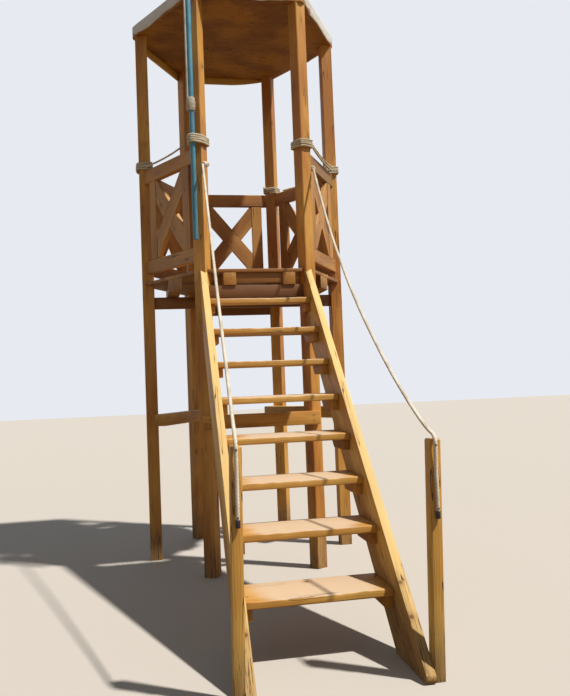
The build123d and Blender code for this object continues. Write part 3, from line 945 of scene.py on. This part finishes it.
def rope_finish(name, clean, soiled):
    finish = Finish(name)
    place = finish.place()
    dirt = finish.cloud(place, (9, 9, 9), 4.0, 0.6)
    yarn = finish.cloud(place, (420, 420, 420), 2.0, 0.6)
    colour = finish.mix(finish.ramp(dirt, 0.35, 0.7), clean, soiled)
    colour = finish.mix(finish.ramp(yarn, 0.5, 0.8) * 0.35, colour, paint(128, 112, 86))
    return finish.done(colour, 0.78, yarn, 0.0012)


def outline_round(corners, reach):
    """The line that a rope's middle takes round a convex outline."""
    outline = []
    for before, corner, after in zip(corners[-1:] + corners[:-1], corners, corners[1:] + corners[:1]):
        along_before = Vector(corner) - Vector(before)
        along_after = Vector(after) - Vector(corner)
        first = math.atan2(-along_before.x, along_before.y)
        turn = along_before.angle_signed(along_after)
        for share in (0, 0.33, 0.67, 1):
            angle = first - turn * share
            outline.append(Vector(corner) + reach * Vector((math.cos(angle), math.sin(angle))))
    return outline


half_post = post_size / 2
post_corners = [(x * half_post, y * half_post) for x, y in ((-1, -1), (1, -1), (1, 1), (-1, 1))]
pole_offset = pole_circle - post_circle
pole_corners = []
for quarter in range(-2, 3):
    angle = quarter * math.pi / 5
    pole_corners.append((pole_offset + pole_radius * math.cos(angle), pole_radius * math.sin(angle)))
both_corners = post_corners[:2] + pole_corners + post_corners[2:]


def winding(letter):
    """Every turn up one post, starting and ending on its inner face, slack where it leaves the corners."""
    reach = lashing_rope / 2 + lashing_clear
    start = Vector((-half_post - reach, 0))
    outline = outline_round(both_corners if letter == "b" else post_corners, reach)
    ring = [start]
    for first, second in zip(outline, outline[1:]):
        ring.append(first)
        gap = second - first
        if gap.length > half_post:
            ring.append((first + second) / 2 + Vector((gap.y, -gap.x)).normalized() * lashing_bow)
    ring.append(outline[-1])
    lengths = [0.0]
    for first, second in zip(ring, ring[1:] + [start]):
        lengths.append(lengths[-1] + (second - first).length)
    climb = []
    for turn in range(lashing_turns):
        for place, length in zip(ring, lengths):
            share = (turn + length / lengths[-1]) / lashing_turns
            level = lashing_bottom + lashing_rope / 2 + lashing_pitch * (lashing_turns - 1) * share
            wander = noise.noise(Vector((place.x * 9, place.y * 9, turn * 3.0 + post_names.index(letter))))
            out = place.normalized() * 0.002 * (1 + wander)
            climb.append(Vector((place.x + out.x, place.y + out.y, level + lashing_wander * wander)))
    turned = Matrix.Rotation(math.radians(post_bearing(letter)), 4, "Z")
    to_post = turned @ Matrix.Translation((post_circle, 0, 0))
    return smooth_line([Matrix.Translation(ring_middle) @ to_post @ place for place in climb])


lashing_cream = rope_finish("lashing_cream", paint(224, 214, 190), paint(190, 176, 146))
windings = [winding(letter) for letter in post_names]
turns = laid_rope("lashing_turns", windings, lashing_rope, lashing_cream)
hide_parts("lashings")
span_line = 0.697
span_height = 3.032
span_half = 0.275


def span(side, start_rise, end_rise, sag):
    """A short length from one lashing to the next, just outside the top rail."""
    places = []
    for share in (0, 0.12, 0.3, 0.5, 0.7, 0.88, 1):
        rise = start_rise + (end_rise - start_rise) * share - sag * 4 * share * (1 - share)
        places.append(Vector((span_half - 2 * span_half * share, span_line, span_height + rise)))
    placed = Matrix.Translation(ring_middle) @ Matrix.Rotation(side_turn(side), 4, "Z")
    return [placed @ place for place in places]


spans = [
    span("ab", -0.012, 0.010, 0.014),
    span("cd", 0.036, 0.004, 0.018),
    span("cd", 0.018, -0.020, 0.020),
    span("de", 0.0, 0.0, 0.010),
    span("fa", 0.0, -0.004, 0.010),
]
span_piece = laid_rope("span_ropes", spans, span_rope, lashing_cream)
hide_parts("rope_spans")

# The handrail ropes: white laid rope, 19 mm thick, knotted at the stair posts. They hang in a long curve
# to the newels, are nailed over them, and end in a whipping of black tape.
handrail_rope = 0.019
tape_length = 0.034
tape_thickness = 0.0008
knot_radius = 0.0125
knot_turns = 2.5
knot_start = 0.15
knot_reach = 0.95
upper_nail = 0.322
lower_nail = 0.012
right_route = [
    (0.449, 0.335, 2.860), (0.449, 0.204, 2.672), (0.449, 0.044, 2.457), (0.449, -0.126, 2.253),
    (0.449, -0.306, 2.066), (0.448, -0.496, 1.885), (0.448, -0.696, 1.711), (0.448, -0.906, 1.548),
    (0.447, -1.126, 1.390), (0.446, -1.346, 1.250), (0.445, -1.536, 1.143), (0.444, -1.656, 1.087),
    (0.443, -1.736, 1.067), (0.443, -1.732, 0.985), (0.443, -1.727, 0.895), (0.444, -1.729, 0.805),
    (0.444, -1.727, 0.705),
]
left_route = [
    (-0.355, 0.280, 2.860), (-0.363, 0.079, 2.670), (-0.371, -0.123, 2.482), (-0.378, -0.324, 2.297),
    (-0.386, -0.525, 2.115), (-0.394, -0.727, 1.936), (-0.402, -0.928, 1.759), (-0.410, -1.130, 1.586),
    (-0.417, -1.331, 1.416), (-0.424, -1.492, 1.282), (-0.430, -1.633, 1.166), (-0.433, -1.736, 1.084),
    (-0.433, -1.732, 1.000), (-0.433, -1.727, 0.915), (-0.434, -1.729, 0.825), (-0.434, -1.727, 0.730),
]
rope_white = rope_finish("handrail_white", paint(228, 220, 204), paint(196, 184, 160))


def stopper_knot(start, behind):
    """The turns of a barrel knot about the line from its back to the rope's start."""
    steps_a_turn = 14
    line = Vector(start) - Vector(behind)
    side = line.orthogonal().normalized()
    other = line.normalized().cross(side)
    places = [Vector(start)]
    last = int(knot_turns * steps_a_turn)
    for index in range(last + 1):
        angle = 2 * math.pi * index / steps_a_turn
        back = knot_start + knot_reach * index / last
        reach = side * math.cos(angle) + other * math.sin(angle)
        places.append(Vector(start) - line * back + reach * knot_radius)
    places.append(Vector(behind) - line * 0.25 - side * 0.002)
    return places


def tape(name, places):
    """Black tape wound round the end of a rope, with its edges rounded."""
    ahead = (places[-1] - places[-4]).normalized()
    middle = places[-1] - ahead * (tape_length / 2 - 0.001)
    turn = ahead.to_track_quat("Z", "Y").to_euler()
    bpy.ops.object.select_all(action="DESELECT")
    radius = handrail_rope / 2 + tape_thickness
    bpy.ops.mesh.primitive_cylinder_add(
        vertices=20, radius=radius, depth=tape_length, location=middle, rotation=turn)
    piece = settled()
    piece.name = name
    bpy.ops.object.mode_set(mode="EDIT")
    bpy.ops.mesh.select_all(action="SELECT")
    bpy.ops.mesh.bevel(offset=0.002, segments=3)
    bpy.ops.object.mode_set(mode="OBJECT")
    bpy.ops.object.shade_smooth_by_angle(angle=smooth_below)
    finish = Finish(name + "_black")
    wear = finish.cloud(finish.place(), (60, 60, 160), 3.0)
    colour = finish.mix(wear, paint(24, 23, 26), paint(52, 48, 50))
    return fitted(piece, finish.done(colour, 0.5 + wear * 0.2, wear, 0.001))


right_knot = stopper_knot(right_route[0], (0.4475, 0.3780, 2.872))
left_knot = stopper_knot(left_route[0], (-0.325, 0.312, 2.872))
knot_piece = laid_rope("handrail_knots", [right_knot, left_knot], handrail_rope, rope_white)
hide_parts("rope_ties")
nail_seats = []
for hand, route in (("right", right_route), ("left", left_route)):
    places = smooth_line(route)
    rope = laid_rope("handrail_" + hand, [places], handrail_rope, rope_white)
    end = tape("tape_" + hand, places)
    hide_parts("handrail_rope_" + hand)
    for level in (route[-1][2] + upper_nail, route[-1][2] + tape_length + lower_nail):
        nearest = min(places, key=lambda place: abs(place.z - level))
        nail_seats.append((nearest + Vector((0, -handrail_rope / 2, 0)), (0, -1, 0)))
screws("rope_nails", nail_seats)
bpy.data.objects.remove(pattern_head)

# The flag pole: a round pole, painted blue, lashed to the left stair post and passing just clear of the
# roof. A white line runs up its left side from the whipping of white cord that covers the joint of its two
# lengths.
pole_angle = math.radians(post_bearing("b"))
pole_axis = ring_middle + Matrix.Rotation(pole_angle, 3, "Z") @ Vector((pole_circle, 0, 0))
pole_low, pole_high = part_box("flag_pole")
sleeve_low, sleeve_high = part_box("pole_sleeve")
line_radius = 0.0075
line_bearing = math.radians(188)
whipping_cord = 0.0035
whipping_bite = 0.0003
whipping_bulge = 0.005
whipping_turns = 13
whipping_over_line = 1.2
line_above_sleeve = 0.01
line_below_top = 0.03


def pole_paint():
    finish = Finish("pole_paint_blue")
    place = finish.place()
    worn = finish.cloud(place, (30, 30, 9), 4.0, 0.65)
    grain = finish.cloud(place, (200, 200, 6), 2.0)
    colour = finish.mix(finish.ramp(worn, 0.35, 0.75), paint(90, 156, 180), paint(62, 124, 152))
    colour = finish.mix(finish.ramp(worn, 0.66, 0.72), colour, paint(168, 176, 172))
    return finish.done(colour, 0.42 + worn * 0.2, grain + worn, 0.0005)


def upright_round(name, middle, radius, bottom, top, material):
    """An upright round length with its ends eased."""
    bpy.ops.object.select_all(action="DESELECT")
    place = (middle.x, middle.y, (bottom + top) / 2)
    bpy.ops.mesh.primitive_cylinder_add(vertices=32, radius=radius, depth=top - bottom, location=place)
    piece = settled()
    finish_piece(piece, name, material, radius * 0.15)
    return piece


def whipping():
    """The route of the cord wound up the joint, swelling in the middle and over the line beside it."""
    steps_a_turn = 24
    step_count = whipping_turns * steps_a_turn
    route = []
    for index in range(step_count + 1):
        share = index / step_count
        angle = 2 * math.pi * index / steps_a_turn
        bulge = whipping_bulge * math.sin(math.pi * share)
        toward_line = max(0, math.cos(angle - line_bearing)) ** 2
        over_line = whipping_over_line * line_radius * toward_line
        reach = pole_radius + whipping_cord - whipping_bite + bulge + over_line
        level = sleeve_low.z + whipping_cord + share * (sleeve_high.z - sleeve_low.z - 2 * whipping_cord)
        route.append(pole_axis + Vector((reach * math.cos(angle), reach * math.sin(angle), level)))
    return route


pole = upright_round("blue_pole", pole_axis, pole_radius, pole_low.z, pole_high.z, pole_paint())
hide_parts("flag_pole")
to_line = Vector((math.cos(line_bearing), math.sin(line_bearing), 0))
line_axis = pole_axis + (pole_radius + line_radius) * to_line
line_white = rope_finish("line_white", paint(222, 222, 216), paint(190, 190, 182))
line_bottom = sleeve_low.z + line_above_sleeve
upright_round("pole_line", line_axis, line_radius, line_bottom, pole_high.z - line_below_top, line_white)
cord_white = rope_finish("whipping_white", paint(222, 216, 200), paint(190, 180, 158))
cord = round_strands("pole_whipping", [whipping()], whipping_cord, cord_white)
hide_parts("pole_sleeve")

# The floor, the light and the camera. A pale floor, a lamp high on the right in place of the sun, and an
# even pale surround.
floor_reach = 30
bpy.ops.object.select_all(action="DESELECT")
bpy.ops.mesh.primitive_plane_add(size=2 * floor_reach, location=(0, 0, 0))
floor = bpy.context.object
floor.name = "floor"
floor_finish = Finish("floor_pale")
seen_directly = floor_finish.node("ShaderNodeLightPath", output="Is Camera Ray")
floor_colour = floor_finish.mix(seen_directly, paint(122, 104, 80), paint(190, 184, 176))
floor.data.materials.append(floor_finish.done(floor_colour, 0.9))

sun_bearing = math.radians(-34)
sun_climb = math.radians(59)
sun = bpy.data.lights.new("sun", "SUN")
sun.energy = 4.8
sun.angle = math.radians(2)
sun.color = (1.0, 0.95, 0.88)
level_reach = math.cos(sun_climb)
to_sun = Vector((
    math.cos(sun_bearing) * level_reach, math.sin(sun_bearing) * level_reach, math.sin(sun_climb)))
linked("sun", sun).rotation_euler = to_sun.to_track_quat("Z", "Y").to_euler()

sky_light = {"Color": (0.90, 0.95, 1.0, 1.0), "Strength": 0.19}
sky_seen = {"Color": (0.80, 0.83, 0.88, 1.0), "Strength": 1.0}
surround = Finish("surround", "worlds")
surround.nodes.remove(surround.nodes["Background"])
camera_ray = surround.node("ShaderNodeLightPath", output="Is Camera Ray")
glossy_ray = surround.node("ShaderNodeLightPath", output="Is Glossy Ray")
either = surround.node("ShaderNodeMath", {"operation": "MAXIMUM"}, {0: camera_ray, 1: glossy_ray})
lighting = surround.node("ShaderNodeBackground", inputs=sky_light)
seen = surround.node("ShaderNodeBackground", inputs=sky_seen)
choice = surround.node("ShaderNodeMixShader", inputs={0: either, 1: lighting, 2: seen})
surround.feed(surround.nodes["World Output"].inputs["Surface"], choice)
bpy.context.scene.world = surround.block

camera_place = Vector((-0.7892, -4.7623, 1.3323))
heading = 0.1895
pitch = 0.0442
roll = -0.0392
photo_height = 696
focal_pixels = 729.9
sensor_size = 36.0
ahead = Vector((math.sin(heading) * math.cos(pitch), math.cos(heading) * math.cos(pitch), math.sin(pitch)))
level_right = Vector((math.cos(heading), -math.sin(heading), 0))
level_up = level_right.cross(ahead)
camera_right = math.cos(roll) * level_right + math.sin(roll) * level_up
camera_up = math.cos(roll) * level_up - math.sin(roll) * level_right
camera_turn = Matrix((camera_right, camera_up, -ahead)).transposed().to_4x4()
camera_data = bpy.data.cameras.new("camera")
camera_data.sensor_fit = "AUTO"
camera_data.sensor_width = sensor_size
camera_data.lens = focal_pixels * sensor_size / photo_height
camera = linked("camera", camera_data)
camera.matrix_world = Matrix.Translation(camera_place) @ camera_turn
bpy.context.scene.camera = camera
bpy.context.scene.view_settings.view_transform = "Standard"
